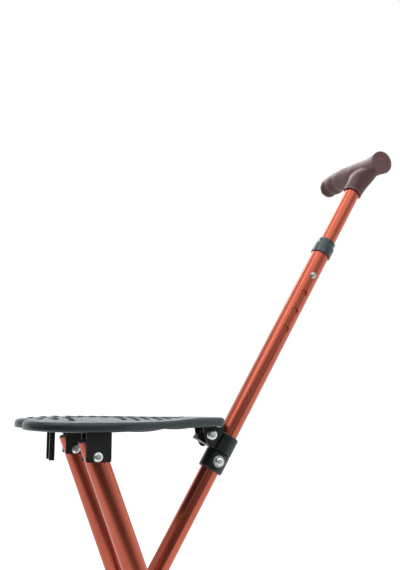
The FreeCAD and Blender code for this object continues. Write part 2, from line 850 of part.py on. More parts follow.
def outline_block(name, inset, low, high):
    """The seat's outline, drawn in by an inset, as an upright block."""
    sketch = doc.addObject("Sketcher::SketchObject", f"{name}_outline")
    draw_seat_outline(sketch, inset)
    block = doc.addObject("Part::Extrusion", name)
    block.Base = sketch
    block.DirMode = "Custom"
    block.Dir = UP
    block.LengthFwd = high
    block.LengthRev = -low
    block.Solid = True
    return block


def crown_form(name, depth):
    """All that lies under the seat's top, sunk by a depth: flat in the middle, with rounded shoulders.

    The section across the seat is drawn on the line of the front hinge and swept along the slope that
    rises to the back.
    """
    flat = cell("flat_half_width")
    run = cell("lobe_side") + cell("lobe_radius") - flat
    drop = cell("shoulder_drop")
    radius = (run * run + drop * drop) / (drop * 2)
    slope = (cell("seat_height") - cell("seat_front_height")) / (cell("front_reach") + cell("lobe_back"))
    top = cell("seat_front_height") + slope * cell("front_reach") - depth
    bend = radius - depth
    low = as_size(-30)
    # The shoulders run a little past the seat's sides
    turn = math.asin((run.value + 4) / bend.value)
    edge_y = flat.value + bend.value * math.sin(turn)
    edge_z = (top - bend).value + bend.value * math.cos(turn)
    sketch = doc.addObject("Sketcher::SketchObject", f"{name}_section")
    across_seat = FreeCAD.Rotation(FreeCAD.Vector(1, 1, 1), 120)
    tilt = FreeCAD.Rotation(FreeCAD.Vector(0, 1, 0), math.degrees(math.atan(slope.value)))
    sketch.Placement = FreeCAD.Placement(FreeCAD.Vector(0, 0, 0), tilt.multiply(across_seat))

    def line(start, end):
        return sketch.addGeometry(Part.LineSegment(FreeCAD.Vector(*start, 0), FreeCAD.Vector(*end, 0)), False)

    def shoulder(side, start, end):
        middle = FreeCAD.Vector(side * flat.value, (top - bend).value, 0)
        return sketch.addGeometry(Part.ArcOfCircle(Part.Circle(middle, UP, bend.value), start, end), False)

    quarter = math.pi / 2
    level = line((flat.value, top.value), (-flat.value, top.value))
    far = shoulder(1, quarter - turn, quarter)
    near = shoulder(-1, quarter, quarter + turn)
    near_side = line((-edge_y, edge_z), (-edge_y, low.value))
    bottom = line((-edge_y, low.value), (edge_y, low.value))
    far_side = line((edge_y, low.value), (edge_y, edge_z))
    for one, one_end, other, other_end in ((near, 2, near_side, 1), (near_side, 2, bottom, 1),
                                           (bottom, 2, far_side, 1), (far_side, 2, far, 1)):
        sketch.addConstraint(Sketcher.Constraint("Coincident", one, one_end, other, other_end))
    sketch.addConstraint(Sketcher.Constraint("Tangent", far, 2, level, 1))
    sketch.addConstraint(Sketcher.Constraint("Tangent", level, 2, near, 1))
    for geometry in (far, near):
        hold_radius(sketch, geometry, bend)
    pin_point(sketch, far, 3, flat, top - bend)
    pin_coordinate(sketch, "DistanceX", near, 3, -flat)
    sketch.addConstraint(Sketcher.Constraint("Vertical", near_side))
    sketch.addConstraint(Sketcher.Constraint("Vertical", far_side))
    sketch.addConstraint(Sketcher.Constraint("Horizontal", bottom))
    pin_coordinate(sketch, "DistanceY", bottom, 1, low)
    form = doc.addObject("Part::Extrusion", name)
    form.Base = sketch
    form.DirMode = "Custom"
    form.Dir = FreeCAD.Vector(1, 0, -slope.value)
    form.LengthFwd = 60
    form.LengthRev = 320
    form.Solid = True
    return form


def joined(kind, name, first, second):
    result = doc.addObject(kind, name)
    result.Base = first
    result.Tool = second
    doc.recompute()
    return result


def inside_outline(x, y, margin):
    """Whether a point of the seat's plan lies inside its outline by a margin."""
    y = abs(y)
    lobe_x = -cell("lobe_back").value
    front = cell("front_reach").value
    lobe_y = cell("lobe_side").value
    lobe = cell("lobe_radius").value
    flank = cell("side_radius").value
    if x < lobe_x:
        notch_x = lobe_x - math.sqrt((lobe + cell("notch_radius").value) ** 2 - lobe_y ** 2)
        clear_of_notch = math.hypot(x - notch_x, y) > cell("notch_radius").value + margin
        return clear_of_notch and math.hypot(x - lobe_x, y - lobe_y) < lobe - margin
    flank_y = lobe_y + lobe - flank
    in_flank = math.hypot(x - lobe_x, y - flank_y) < flank - margin
    corner_x = front - cell("front_corner_radius").value
    corner_y = cell("front_corner_side").value
    across = math.hypot(corner_x - lobe_x, corner_y - flank_y)
    taper = math.atan2(corner_y - flank_y, corner_x - lobe_x)
    taper += math.acos((flank - cell("front_corner_radius").value) / across)
    reach = (x - lobe_x) * math.cos(taper) + (y - flank_y) * math.sin(taper)
    return in_flank and reach < flank - margin and x < front - margin


def seat_pads():
    """The mounting pads under the plate: low and high corners in plan, and the plane each ends at."""
    border = cell("pad_border").value
    wide = (leg_radius + free + sheet_thickness).value + border
    half = cell("rear_bracket_length").value / 2 + border
    middle_back = -rear_back + cell("rear_bracket_offset").value
    pads = []
    for side in (-1, 1):
        middle = side * half_spacing.value
        pads.append((middle_back - half, middle_back + half, middle - wide, middle + wide,
                     cell("rear_bracket_plane").value))
    narrow = (ring_radius + free + sheet_thickness).value + 2
    slot = cell("ear_width").value / 2 + 1.2
    front = (cell("front_reach") - cell("rim_width")).value + 1
    front_pad_back = -cell("front_pad_back").value
    for low, high in ((-narrow, -slot), (slot, narrow)):
        pads.append((front_pad_back, front, low, high, cell("front_bracket_plane").value))
    pads.append((0, front, -slot, slot, cell("front_bracket_plane").value))
    clip = -cell("clip_back").value
    clip_length = cell("clip_pad_half_length").value
    clip_width = cell("clip_pad_half_width").value
    pads.append((clip - clip_length, clip + clip_length, -clip_width, clip_width,
                 cell("rear_bracket_plane").value))
    return pads


def space_below(name, points):
    """An upright sheet of space across the whole seat, under a line of points from back to front."""
    line = Part.BSplineCurve()
    line.interpolate([FreeCAD.Vector(x, -SEAT_SPACE, z) for x, z in points])
    low = BELOW_SEAT - 2
    first = FreeCAD.Vector(points[0][0], -SEAT_SPACE, low)
    last = FreeCAD.Vector(points[-1][0], -SEAT_SPACE, low)
    edges = [line.toShape(), Part.makeLine(line.EndPoint, last), Part.makeLine(last, first),
             Part.makeLine(first, line.StartPoint)]
    space = doc.addObject("Part::Feature", name)
    space.Shape = Part.Face(Part.Wire(edges)).extrude(FreeCAD.Vector(0, 2 * SEAT_SPACE, 0))
    return space


def skirt_lobe(back, front):
    """A shallow bulge that hangs from the rim between two points of its underside."""
    drop = cell("skirt_drop").value
    (x_back, z_back), (x_front, z_front) = back, front
    middle = FreeCAD.Vector((x_back + x_front) / 2, -SEAT_SPACE, (z_back + z_front) / 2 - drop)
    start = FreeCAD.Vector(x_back, -SEAT_SPACE, z_back)
    end = FreeCAD.Vector(x_front, -SEAT_SPACE, z_front)
    above = FreeCAD.Vector(0, 0, 5)
    edges = [Part.Arc(start, middle, end).toShape(), Part.makeLine(end, end + above),
             Part.makeLine(end + above, start + above), Part.makeLine(start + above, start)]
    return Part.Face(Part.Wire(edges)).extrude(FreeCAD.Vector(0, 2 * SEAT_SPACE, 0))


def drain_holes():
    """Upright drills on a square grid, left out over the rim and the pads."""
    pitch = cell("hole_row_pitch").value
    shift = cell("hole_grid_shift").value
    radius = cell("seat_hole_diameter").value / 2
    margin = cell("rim_width").value + radius + 1.5
    room = radius + 1
    drills = []
    for row in range(-8, 9):
        for column in range(-20, 4):
            x = column * pitch + shift
            y = row * pitch
            over_pad = any(x_low - room < x < x_high + room and y_low - room < y < y_high + room
                           for x_low, x_high, y_low, y_high, plane in seat_pads())
            if inside_outline(x, y, margin) and not over_pad:
                drills.append(Part.makeCylinder(radius, ABOVE_SEAT, FreeCAD.Vector(x, y, 0)))
    return drills


def make_seat_shell():
    low, high = BELOW_SEAT, ABOVE_SEAT
    front = cell("front_reach").value
    back = -(cell("lobe_back") + cell("lobe_radius")).value
    bottom_back = cell("rim_bottom_back").value
    bottom_front = cell("rim_bottom_front").value
    # The rim's underside: lowest beside the rear bolts, rising to the front and a little to the back
    underside = [(back - 12, bottom_back + 3), (back + 25, bottom_back + 0.8), (-150, bottom_back),
                 (-110, bottom_back + 0.3), (-72, (bottom_back + bottom_front) / 2),
                 (-36, bottom_front - 0.3), (front + 6, bottom_front)]
    crowned = joined("Part::Common", "seat_crowned", outline_block("seat_block", as_size(0), low, high),
                     crown_form("seat_top_form", as_size(0)))
    slab = joined("Part::Cut", "seat_slab", crowned, space_below("seat_under_space", underside))
    edges = []
    for number, edge in enumerate(slab.Shape.Edges, start=1):
        box = edge.BoundBox
        upright = box.XLength < 0.1 and box.YLength < 0.1
        if upright:
            continue
        upper = edge.CenterOfMass.z > 14
        radius = cell("rim_top_edge").value if upper else cell("rim_bottom_edge").value
        edges.append((number, radius, radius))
    nosed = doc.addObject("Part::Fillet", "seat_nosed")
    nosed.Base = slab
    nosed.Edges = edges
    doc.recompute()
    # Two shallow lobes hang from the inner half of the rim on each long side
    band = joined("Part::Cut", "seat_skirt_band",
                  outline_block("seat_skirt_outer", cell("rim_bottom_edge") + 0.4, low, high),
                  outline_block("seat_skirt_inner", cell("rim_width"), low, high))
    lobes = doc.addObject("Part::Feature", "seat_skirt_lobes")
    skirt_back = -cell("skirt_back").value
    skirt_middle = -cell("skirt_middle").value
    skirt_front = -cell("skirt_front").value
    lobes.Shape = Part.makeCompound([
        skirt_lobe((skirt_back, bottom_back + 0.3), (skirt_middle - 1, bottom_front - 2)),
        skirt_lobe((skirt_middle + 1, bottom_front - 2), (skirt_front, bottom_front - 0.4)),
    ])
    skirt = joined("Part::Common", "seat_skirt", band, lobes)
    rimmed = joined("Part::Fuse", "seat_rimmed", nosed, skirt)
    hollow = joined("Part::Common", "seat_hollow",
                    outline_block("seat_hollow_block", cell("rim_width"), low, high),
                    crown_form("seat_plate_form", cell("plate_thickness")))
    shell = joined("Part::Cut", "seat_open_shell", rimmed, hollow)
    blocks = []
    for count, (x_low, x_high, y_low, y_high, plane) in enumerate(seat_pads()):
        pad = doc.addObject("Part::Box", f"seat_pad_{count}")
        pad.Length = x_high - x_low
        pad.Width = y_high - y_low
        pad.Height = high - plane
        pad.Placement = moved(x_low, y_low, plane)
        blocks.append(pad)
    pads = doc.addObject("Part::MultiFuse", "seat_pads")
    pads.Shapes = blocks
    doc.recompute()
    trimmed = joined("Part::Common", "seat_pads_under_plate", pads,
                     crown_form("seat_pad_form", cell("plate_thickness") - 0.8))
    inner = joined("Part::Common", "seat_pads_inside", trimmed,
                   outline_block("seat_pad_block", cell("rim_width") - 1, low, high))
    whole_seat = joined("Part::Fuse", "seat_with_pads", shell, inner)
    drills = doc.addObject("Part::Feature", "seat_drain_holes")
    drills.Shape = Part.makeCompound(drain_holes())
    seat = joined("Part::Cut", "seat_shell", whole_seat, drills)
    seat.Label = "seat_shell"
    finished(seat, seat_place)


# Brackets, bolts and clip under the seat

def make_rear_bracket(label, side):
    """A folded channel: a top sheet under the seat and two cheeks outside the leg."""
    inner = leg_radius + free
    outer = inner + sheet_thickness
    length = cell("rear_bracket_length")
    top = cell("rear_bracket_plane") - fit
    low = -as_size(rear_drop) - 5.4
    body = new_body(label)

    def channel(sketch):
        draw_polygon(sketch, [
            (-outer, low), (-inner, low), (-inner, top - sheet_thickness), (inner, top - sheet_thickness),
            (inner, low), (outer, low), (outer, top), (-outer, top),
        ])

    padded(body, "YZ_Plane", f"{label}_channel", channel, length)
    offset = cell("rear_bracket_offset")

    def bolt_hole(sketch):
        draw_circle(sketch, -offset, -rear_drop, bolt_radius + fit)

    pocketed(body, "XZ_Plane", f"{label}_bolt_hole", bolt_hole)

    def lower_corner(edge):
        box = edge.BoundBox
        return box.YLength > 1 and box.XLength < 0.01 and box.ZMax < low.value + 0.01

    rounded(body, f"{label}_corners", lower_corner, as_size(2))
    finished(body, seat_place.multiply(moved(offset.value - rear_back, side * half_spacing.value, 0)))


def make_front_bracket():
    """A folded channel over the sliding ring, with cheeks that narrow round the hinge bolt."""
    inner = ring_radius + free
    outer = inner + sheet_thickness
    top = cell("front_bracket_plane") - fit
    reach = cell("front_bracket_reach")
    step = cell("front_reach") - cell("rim_width") - free
    under_rim = cell("rim_bottom_front") - 1.6
    lowest = as_size(-15)
    body = new_body("front_bracket")

    def channel(sketch):
        draw_polygon(sketch, [
            (-outer, lowest), (-inner, lowest), (-inner, top - sheet_thickness),
            (inner, top - sheet_thickness), (inner, lowest), (outer, lowest), (outer, top), (-outer, top),
        ])

    padded(body, "YZ_Plane", "front_bracket_channel", channel, as_size(40))

    def outside_of_cheek(sketch):
        draw_polygon(sketch, [
            (-30, top + 1), (-10.2, top + 1), (-10.2, 8.4), (-8.6, -0.5), (-4.6, -10.6), (-2.2, -13.6),
            (1.2, -14.7), (4, -13.2), (7.2, -6.3), (14.6, 2.5), (reach, 5), (reach, under_rim),
            (step, under_rim), (step, top + 1), (30, top + 1), (30, -20), (-30, -20),
        ])

    pocketed(body, "XZ_Plane", "front_bracket_cheek_shape", outside_of_cheek)

    def ear_slot(sketch):
        half = cell("ear_width") / 2 + 0.8
        draw_polygon(sketch, [(-12, -half), (-2.2, -half), (-2.2, half), (-12, half)])

    pocketed(body, "XY_Plane", "front_bracket_ear_slot", ear_slot)

    def bolt_hole(sketch):
        draw_circle(sketch, 0, 0, hinge_radius + fit)

    pocketed(body, "XZ_Plane", "front_bracket_bolt_hole", bolt_hole)
    finished(body, seat_place)


def make_seat_fasteners():
    cheek = ring_radius + free + sheet_thickness + fit
    near = seat_place.multiply(moved(0, -cheek.value, 0, facing_near))
    far = seat_place.multiply(moved(0, cheek.value, 0, facing_far))
    make_turned("hinge_bolt", bolt_profile(hinge_radius, as_size(6.2), as_size(5.2), cheek * 2, as_size(3.5)),
                near)
    make_turned("hinge_nut", nut_profile(hinge_radius, as_size(6.2), as_size(7)), far)
    outside = leg_radius + free + sheet_thickness + fit
    for label, side in (("near", -1), ("far", 1)):
        middle = side * half_spacing.value
        hole = moved(-rear_back, middle - outside.value, -rear_drop, facing_near)
        end = moved(-rear_back, middle + outside.value, -rear_drop, facing_far)
        make_turned(f"{label}_rear_bolt",
                    bolt_profile(bolt_radius, as_size(5.1), as_size(4), outside * 2, as_size(3)),
                    seat_place.multiply(hole))
        make_turned(f"{label}_rear_nut", nut_profile(bolt_radius, as_size(5), as_size(5.6)),
                    seat_place.multiply(end))


def make_seat_clip():
    """Two long prongs on a small base: they close over the stick when the seat is folded."""
    gap = main_radius + 0.4
    outer = gap + cell("clip_wall")
    top = cell("rear_bracket_plane") - fit
    base = as_size(2.6)
    body = new_body("seat_clip")

    def fork(sketch):
        draw_polygon(sketch, [
            (-outer, -cell("clip_reach")), (-gap, -cell("clip_reach")), (-gap, top - base),
            (gap, top - base), (gap, -cell("clip_reach")), (outer, -cell("clip_reach")),
            (outer, top - base), (outer + 3, top - base), (outer + 3, top), (-outer - 3, top),
            (-outer - 3, top - base), (-outer, top - base),
        ])

    padded(body, "YZ_Plane", "seat_clip_fork", fork, cell("clip_width"))

    def prong_end(edge):
        box = edge.BoundBox
        return box.YLength < 0.01 and box.ZMax < 0.01 - cell("clip_reach").value

    rounded(body, "seat_clip_ends", prong_end, as_size(1))
    finished(body, seat_place.multiply(moved(-cell("clip_back").value, 0, 0)))


make_main_tube()
make_collar()
make_stop_clamp()
make_stick_fasteners()
make_cross_hub()
make_foot("main_foot", main_radius, main_base, stick_lean, stick_place)
make_upper_tube()
make_upper_plug()
make_snap_clip()
make_handle()
make_leg("near", -1)
make_leg("far", 1)
make_axle()
make_slide_ring()
make_seat_shell()
make_rear_bracket("near_rear_bracket", -1)
make_rear_bracket("far_rear_bracket", 1)
make_front_bracket()
make_seat_fasteners()
make_seat_clip()
doc.recompute()

# The origin is on the floor, under the middle of the whole part's length

for item in subparts:
    if item.Shape.isNull() or not item.Shape.isValid() or item.Shape.Volume < 1:
        raise RuntimeError(f"{item.Label} has no valid shape")
whole = FreeCAD.BoundBox()
for item in subparts:
    whole.add(item.Shape.optimalBoundingBox(False, False))
shift = moved(-whole.Center.x, 0, 0)
for item in subparts:
    item.Placement = shift.multiply(item.Placement)
doc.recompute()

for item in doc.Objects:
    if "Invalid" in item.State or "Error" in item.State:
        raise RuntimeError(f"{item.Label} failed: {item.State}")
for item in subparts:
    item.Shape.exportStep(f"parts/{item.Label}.step")

# The fold, for whoever sets up its joints: the legs close on the stick and the seat follows them

open_leg = stick_lean.value + leg_lean.value
link = math.hypot(rear_back, rear_drop)
rear_across = cell("leg_above_pivot").value * math.sin(math.radians(open_leg))
open_seat = math.degrees(math.asin((rear_across - cell("ear_reach").value) / link))
closed_seat = math.degrees(math.asin(-cell("ear_reach").value / link))
print("sub-parts", len(subparts))
print("box", [round(v, 2) for v in (whole.XMin, whole.XMax, whole.YMin, whole.YMax, whole.ZMin, whole.ZMax)])
print("leg pivot", shift.multVec(pivot), "rear hinge", shift.multVec(rear_hinge))
print("front hinge", shift.multVec(front_hinge), "stick origin", shift.multVec(stick_place.Base))
print("leg fold", round(open_leg, 4), "seat turn", round(open_seat - closed_seat, 4), "link", round(link, 3))
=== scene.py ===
import json
import math

import bmesh
import bpy
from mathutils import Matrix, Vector
from mathutils.bvhtree import BVHTree
from mathutils.kdtree import KDTree


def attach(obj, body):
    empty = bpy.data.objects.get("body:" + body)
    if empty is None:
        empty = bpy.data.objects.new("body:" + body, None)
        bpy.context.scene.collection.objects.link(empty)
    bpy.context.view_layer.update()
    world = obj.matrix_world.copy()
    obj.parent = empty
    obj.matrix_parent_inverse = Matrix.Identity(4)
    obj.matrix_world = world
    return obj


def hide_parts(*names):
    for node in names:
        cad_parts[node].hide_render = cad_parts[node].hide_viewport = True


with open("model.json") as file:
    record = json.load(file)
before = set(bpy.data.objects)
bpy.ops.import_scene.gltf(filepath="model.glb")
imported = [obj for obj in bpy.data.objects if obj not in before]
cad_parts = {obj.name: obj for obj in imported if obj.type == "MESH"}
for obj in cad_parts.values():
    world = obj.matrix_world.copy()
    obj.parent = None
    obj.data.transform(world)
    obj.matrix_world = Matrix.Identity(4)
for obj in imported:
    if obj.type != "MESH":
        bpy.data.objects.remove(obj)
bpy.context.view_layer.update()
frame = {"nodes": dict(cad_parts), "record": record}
nodes = frame["nodes"]

# The view: where the photographer's lens stood, in metres, how it was turned, in degrees, and the lens and
# its sensor, in millimetres
CAMERA_PLACE = Vector((-0.27065, -0.80537, 0.49689))
CAMERA_TURN = math.radians(18.43)
CAMERA_TILT = math.radians(9.57)
CAMERA_LENS = 45.47
SENSOR_WIDTH = 36
NEAREST_SEEN = 0.01

# The seat's outline seen from above, in metres from the front hinge: two lobes, long sides and a front.
# Each lobe's arc is a share of half a turn.
FRONT_HINGE = Vector((0.006077, 0, 0.465075))
LOBE_BACK = 0.1653
LOBE_SIDE = 0.0505
LOBE_RADIUS = 0.0481
LOBE_SWEEP = 0.72
SIDE_RADIUS = 0.170
CORNER_BACK = 0.0005
CORNER_SIDE = 0.018
CORNER_RADIUS = 0.015
OUTLINE_STEPS = 60

# The seat's top, in metres over the floor, and the least upward part of a face that belongs to it. Its
# edges are split, in a few rounds, until none is longer than this.
TOP_LEVEL = 0.479
FACES_UP = 0.9
TOP_EDGE_LENGTH = 0.006
SPLIT_ROUNDS = 5
WELD_DISTANCE = 1e-5

# The moulded top falls towards its whole outline, over a width and by a power. The CAD top falls only
# outside its flat middle, and a share of that fall is kept.
DOME_FALL = 0.0030
DOME_WIDTH = 0.050
DOME_POWER = 1.4
FLAT_HALF_WIDTH = 0.048
OLD_SHOULDER = 1.8
SHOULDER_KEPT = 0.3
# The dome fades out along the seat and fades in up its side; the top also sinks a little towards the back
DOME_FADES_OUT = (-0.085, -0.02)
DOME_FADES_IN = (0.008, 0.015)
SEAT_LOWERING = ((-0.20, 0.0010), (-0.11, 0.0007), (-0.05, 0.0008), (-0.01, 0.0))
# The front rim reaches lower: where that fades in along the seat, and where it fades out up its side
FRONT_RIM_DROP = 0.0013
RIM_DROP_FADES_IN = (-0.06, -0.03)
RIM_DROP_FADES_OUT = (0.0102, 0.0135)
# The skirt lobes below the rim's underside keep a share of their depth
RIM_UNDERSIDE = ((-0.150, 0.0064), (-0.110, 0.0067), (-0.072, 0.0083), (-0.036, 0.0099), (0.020, 0.0102))
SKIRT_BACK = -0.113
SKIRT_FRONT = -0.037
SKIRT_DEPTH = 0.003
SKIRT_KEPT = 0.5
# Faces that meet at more than this angle keep a sharp edge
SHARP_ANGLE = math.radians(32)

# The drain holes: the grid that they lie on, from the front hinge, and their radius
HOLE_PITCH = 0.0138
HOLE_SHIFT = -0.003
HOLE_COLUMNS = range(-16, 2)
HOLE_ROWS = range(-7, 8)
HOLE_RADIUS = 0.0028
PROBE_HEIGHT = 0.1
# The raised lip round each hole, where the plate is whole out to a number of hole radii. Its section is
# round above and flat below: its points are a number of degrees apart, and the first is below the level.
LIP_RADIUS = 0.0005
LIP_RISE = 0.0002
LIP_SPOKES = 14
LIP_SIDES = 6
LIP_FIRST_ANGLE = -35
LIP_ANGLE_STEP = 50
WHOLE_PLATE_REACH = 1.3

# Nodes whose finish differs a little from their slot's
OWN_FINISH = {"collar": "collar_plastic"}

# The studio: the floor's side in metres and its colour, and light levels where 1 is white
FLOOR_SIZE = 80
FLOOR_HEIGHT = -0.0005
FLOOR_SHADE = 0.8
FLOOR_BOUNCE = 0.3
FLOOR_LIFT = 0.75
SOFT_LIGHT = 0.7
# The studio's dark side, and how reflections dim towards it: start, end and level, in metres over the floor
# and as a cosine over the room
DARK_SIDE = (-0.55, -0.77, -0.3)
FLOOR_DIM = (0.6, 1.05, 0.1)
ROOM_DIM = (-0.6, 0.1, 0.55)
ROOM_DARK = (0.5, 0.9, 0.12)
# Each lamp's place, what it points at, its width and height, all in metres, and its power in watts
LAMPS = {
    "top": ((-0.3, -0.8, 2.3), (0, 0, 0.5), (3.8, 2.5), 24),
    "back": ((0.2, 1.4, 2.0), (0, 0, 0.5), (1.6, 1.0), 14),
    "strip": ((-0.655, -0.40, 1.84), (0.12, 0, 0.62), (0.08, 1.2), 1.4),
}


def make_camera():
    data = bpy.data.cameras.new("camera")
    data.sensor_width = SENSOR_WIDTH
    data.lens = CAMERA_LENS
    data.clip_start = NEAREST_SEEN
    camera = bpy.data.objects.new("camera", data)
    bpy.context.scene.collection.objects.link(camera)
    level = math.cos(CAMERA_TILT)
    ahead = Vector((math.sin(CAMERA_TURN) * level, math.cos(CAMERA_TURN) * level, math.sin(CAMERA_TILT)))
    camera.location = CAMERA_PLACE
    camera.rotation_mode = "QUATERNION"
    camera.rotation_quaternion = ahead.to_track_quat("-Z", "Y")
    bpy.context.scene.camera = camera


# Material nodes

class Nodes:
    """A new material and short ways to add nodes to it."""

    def __init__(self, name):
        self.material = bpy.data.materials.new(name)
        self.material.use_nodes = True
        self.tree = self.material.node_tree
        self.tree.nodes.clear()
        self.shader = self.add("ShaderNodeBsdfPrincipled")
        output = self.add("ShaderNodeOutputMaterial")
        self.link(self.shader.outputs[0], output.inputs["Surface"])
        self.place = self.add("ShaderNodeTexCoord").outputs["Object"]

    def add(self, kind):
        return self.tree.nodes.new(kind)

    def link(self, start, end):
        self.tree.links.new(start, end)

    def fill(self, socket, value):
        """Gives an input a number or colour, or links it to an output."""
        if isinstance(value, bpy.types.NodeSocket):
            self.link(value, socket)
        else:
            socket.default_value = value

    def stretched(self, scale):
        """The object's own coordinates, scaled along each axis."""
        node = self.add("ShaderNodeMapping")
        self.link(self.place, node.inputs["Vector"])
        node.inputs["Scale"].default_value = scale
        return node.outputs["Vector"]

    def noise(self, scale, detail=4, roughness=0.55, vector=None):
        node = self.add("ShaderNodeTexNoise")
        self.link(vector or self.place, node.inputs["Vector"])
        node.inputs["Scale"].default_value = scale
        node.inputs["Detail"].default_value = detail
        node.inputs["Roughness"].default_value = roughness
        return node.outputs["Fac"]

    def remap(self, value, low, high, to_low=0.0, to_high=1.0):
        node = self.add("ShaderNodeMapRange")
        self.link(value, node.inputs["Value"])
        node.inputs["From Min"].default_value = low
        node.inputs["From Max"].default_value = high
        node.inputs["To Min"].default_value = to_low
        node.inputs["To Max"].default_value = to_high
        return node.outputs["Result"]

    def maths(self, operation, first, second=0.0):
        node = self.add("ShaderNodeMath")
        node.operation = operation
        self.fill(node.inputs[0], first)
        self.fill(node.inputs[1], second)
        return node.outputs[0]

    def mix(self, amount, first, second):
        node = self.add("ShaderNodeMix")
        node.data_type = "RGBA"
        self.fill(node.inputs["Factor"], amount)
        self.fill(node.inputs[6], first)
        self.fill(node.inputs[7], second)
        return node.outputs[2]

    def worn_edge(self):
        """1 on sharp outward edges, 0 on open surfaces."""
        geometry = self.add("ShaderNodeNewGeometry")
        return self.remap(geometry.outputs["Pointiness"], 0.51, 0.58)

    def bump(self, height, strength, distance):
        node = self.add("ShaderNodeBump")
        self.link(height, node.inputs["Height"])
        node.inputs["Strength"].default_value = strength
        node.inputs["Distance"].default_value = distance
        self.link(node.outputs["Normal"], self.shader.inputs["Normal"])

    def surface(self, colour, roughness, **rest):
        """Links colour and roughness, and sets the rest on the shader's own sockets."""
        self.fill(self.shader.inputs["Base Color"], colour)
        self.fill(self.shader.inputs["Roughness"], roughness)
        for name, value in rest.items():
            self.shader.inputs[name.replace("_", " ")].default_value = value


def rgb(red, green, blue):
    return (red, green, blue, 1.0)


def anodised_tube(name):
    """Orange-brown lacquered tube: a cloudy, finely speckled colour under a thin clear coat."""
    m = Nodes(name)
    cloud = m.noise(14, 3)
    fine = m.noise(700, 3)
    tone = m.remap(m.maths("ADD", cloud, m.maths("MULTIPLY", fine, 0.3)), 0.45, 0.9)
    colour = m.mix(tone, rgb(0.50, 0.108, 0.066), rgb(0.60, 0.142, 0.086))
    m.surface(colour, m.remap(m.noise(60, 5), 0.3, 0.7, 0.19, 0.24), Metallic=0.9, Coat_Weight=0.1,
              Coat_Roughness=0.15)
    m.bump(m.noise(90, 2), 0.01, 0.0002)
    return m.material


def moulded(name, dark, light, rough, grain, depth, **rest):
    """Moulded plastic, rubber or painted sheet: cloudy colour, a fine grain and paler worn edges."""
    m = Nodes(name)
    cloud = m.noise(35, 4)
    speck = m.noise(grain * 1.7, 2)
    tone = m.remap(m.maths("ADD", cloud, m.maths("MULTIPLY", speck, 0.6)), 0.55, 1.05)
    colour = m.mix(tone, dark, light)
    worn = m.maths("MULTIPLY", m.worn_edge(), m.remap(m.noise(120, 3), 0.45, 0.7))
    pale = tuple(c * 1.4 + 0.005 for c in light[:3]) + (1.0,)
    colour = m.mix(m.maths("MULTIPLY", worn, 0.4), colour, pale)
    m.surface(colour, m.remap(m.noise(90, 4), 0.3, 0.7, rough - 0.06, rough + 0.08), **rest)
    m.bump(m.noise(grain, 3), 0.25, depth)
    return m.material


def bright_metal(name, base, rough):
    """Plated steel: cloudy plating with fine scratches."""
    m = Nodes(name)
    cloud = m.noise(160, 4)
    colour = m.mix(m.remap(cloud, 0.35, 0.65), tuple(c * 0.86 for c in base[:3]) + (1.0,), base)
    scratches = m.noise(500, 5, 0.6, m.stretched((1, 1, 6)))
    m.surface(colour, m.remap(scratches, 0.3, 0.7, rough - 0.05, rough + 0.1), Metallic=0.85)
    m.bump(scratches, 0.12, 0.0001)
    return m.material


def make_materials():
    return {
        "anodised_tube": anodised_tube("anodised_tube"),
        "handle_plastic": moulded("handle_plastic", rgb(0.185, 0.084, 0.083), rgb(0.235, 0.116, 0.114),
                                  0.5, 1100, 0.0001, Specular_IOR_Level=0.6),
        "seat_plastic": moulded("seat_plastic", rgb(0.030, 0.042, 0.046), rgb(0.037, 0.051, 0.056),
                                0.26, 1500, 0.00003, Specular_Tint=rgb(0.84, 0.97, 1.0),
                                Sheen_Weight=0.5, Sheen_Tint=rgb(0.5, 0.85, 1.0), Sheen_Roughness=0.25),
        "collar_plastic": moulded("collar_plastic", rgb(0.022, 0.034, 0.036), rgb(0.040, 0.058, 0.060),
                                  0.2, 1300, 0.0001, Specular_IOR_Level=0.9,
                                  Specular_Tint=rgb(0.8, 0.97, 1.0)),
        "black_plastic": moulded("black_plastic", rgb(0.008, 0.010, 0.011), rgb(0.016, 0.020, 0.021),
                                 0.28, 1300, 0.0001, Specular_Tint=rgb(0.86, 1.0, 1.0)),
        "black_sheet": moulded("black_sheet", rgb(0.009, 0.009, 0.010), rgb(0.018, 0.018, 0.020),
                               0.42, 1800, 0.0003),
        "foot_rubber": moulded("foot_rubber", rgb(0.012, 0.012, 0.013), rgb(0.025, 0.025, 0.027),
                               0.72, 900, 0.0004),
        "bright_steel": bright_metal("bright_steel", rgb(0.88, 0.98, 0.94), 0.25),
        "spring_steel": bright_metal("spring_steel", rgb(0.62, 0.62, 0.60), 0.28),
    }


def dress_nodes(materials):
    for entry in frame["record"]["subparts"]:
        mesh = nodes[entry["node"]].data
        mesh.materials.clear()
        finish = OWN_FINISH.get(entry["node"], entry["material_slot"])
        mesh.materials.append(materials[finish])


# The seat

def smooth(value, low, high):
    """0 below the first bound, 1 above the second, and a soft step between them."""
    part = min(1.0, max(0.0, (value - low) / (high - low)))
    return part * part * (3 - 2 * part)


def along(value, points):
    """The height of a broken line of points at a value."""
    for (start, first), (end, second) in zip(points, points[1:]):
        if value <= end:
            part = max(0.0, (value - start) / (end - start))
            return first + (second - first) * part
    return points[-1][1]


